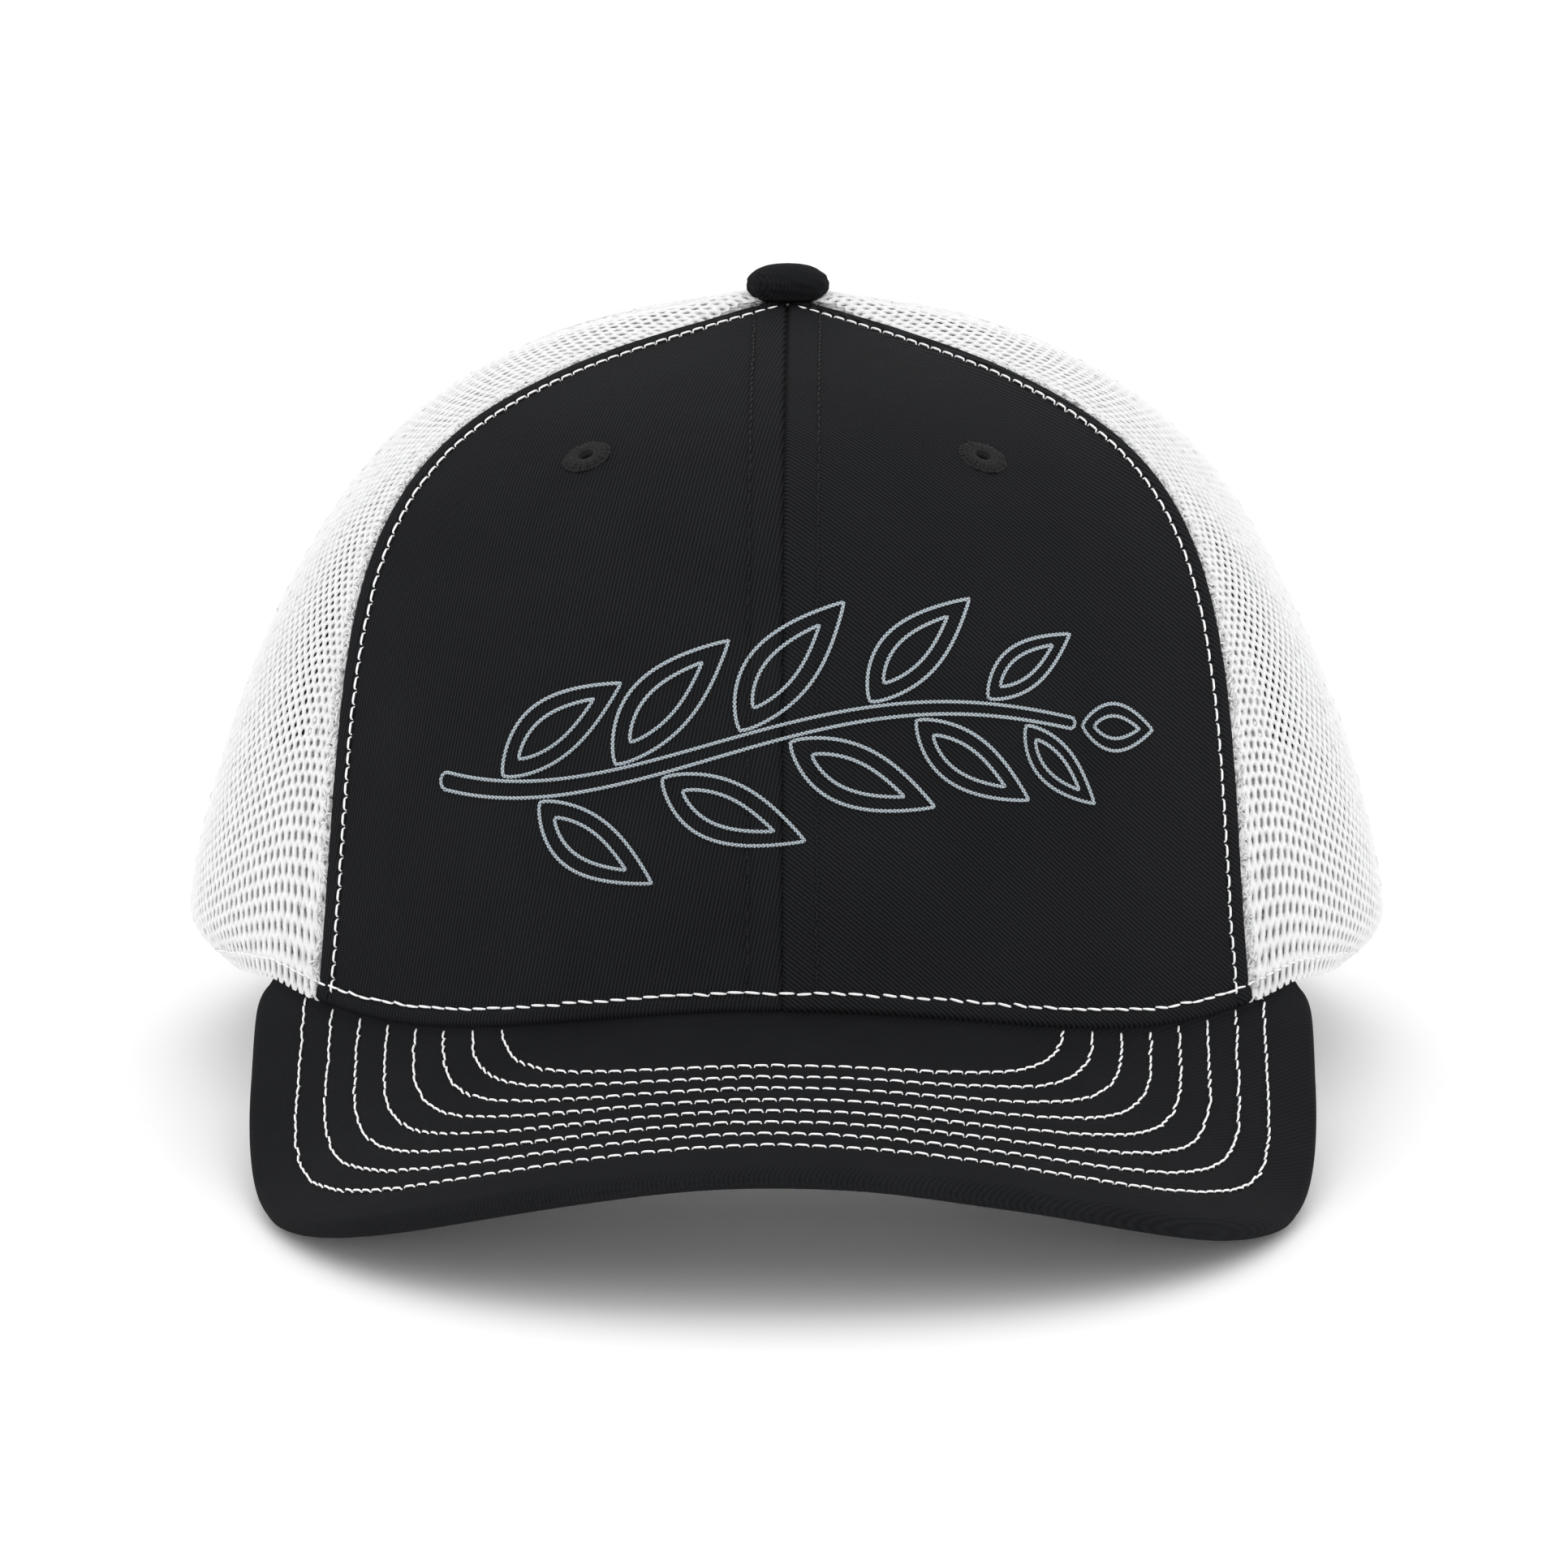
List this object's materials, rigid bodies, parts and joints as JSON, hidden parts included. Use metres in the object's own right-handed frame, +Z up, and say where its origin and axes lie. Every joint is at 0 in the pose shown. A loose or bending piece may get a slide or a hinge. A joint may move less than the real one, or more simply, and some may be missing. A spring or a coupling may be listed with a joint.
{
  "type": "trucker cap",
  "caption": "Trucker cap with twill front panels and curved visor, mesh sides and back, covered top button, inner sweatband and a snap strap closure under a rear arch.",
  "frame": {"origin": "centre of the bounding box's footprint, on the table the cap rests on", "axes": "+Z up, +X to the wearer's left as the cap faces the viewer, -Y the way the visor points; the cap stands on its visor corners and rear rim"},
  "size_m": [0.1906, 0.2632, 0.1242],
  "materials": {
    "black_twill": "woven cotton twill",
    "white_mesh": "knitted polyester mesh",
    "white_backing": "stiffened buckram",
    "black_tape": "woven tape",
    "white_band": "plain woven cotton",
    "visor_board_plastic": "smooth",
    "snap_plastic": "satin, moulded",
    "button_metal": "plain"
  },
  "bodies": {
    "cap": {"front_panel_left": "black_twill", "front_panel_right": "black_twill", "button_cover": "black_twill", "eyelet_left": "black_twill", "eyelet_right": "black_twill", "visor_top_cover": "black_twill", "visor_under_cover": "black_twill", "side_mesh_left": "white_mesh", "side_mesh_right": "white_mesh", "back_mesh_left": "white_mesh", "back_mesh_right": "white_mesh", "buckram_left": "white_backing", "buckram_right": "white_backing", "seam_tape_front": "black_tape", "seam_tape_front_left": "black_tape", "seam_tape_front_right": "black_tape", "seam_tape_rear_left": "black_tape", "seam_tape_rear_right": "black_tape", "seam_tape_back": "black_tape", "sweatband": "white_band", "arch_binding": "white_band", "care_label": "white_band", "visor_board": "visor_board_plastic", "hole_strap_root": "snap_plastic", "peg_strap_root": "snap_plastic", "button_shell": "button_metal", "button_washer": "button_metal"},
    "hole_strap_body": {"hole_strap": "snap_plastic"},
    "peg_strap_body": {"peg_strap": "snap_plastic"}
  },
  "joints": [
    {"name": "hole_strap_bend", "type": "hinge", "parent": "cap", "child": "hole_strap_body", "pos_m": [-0.03637, 0.11798, 0.01076], "axis": [0, 0.1583, 0.9874], "range_deg": [0, 70]},
    {"name": "peg_strap_bend", "type": "hinge", "parent": "cap", "child": "peg_strap_body", "pos_m": [0.03575, 0.11652, 0.011], "axis": [0, 0.1583, 0.9874], "range_deg": [0, 45]}
  ]
}
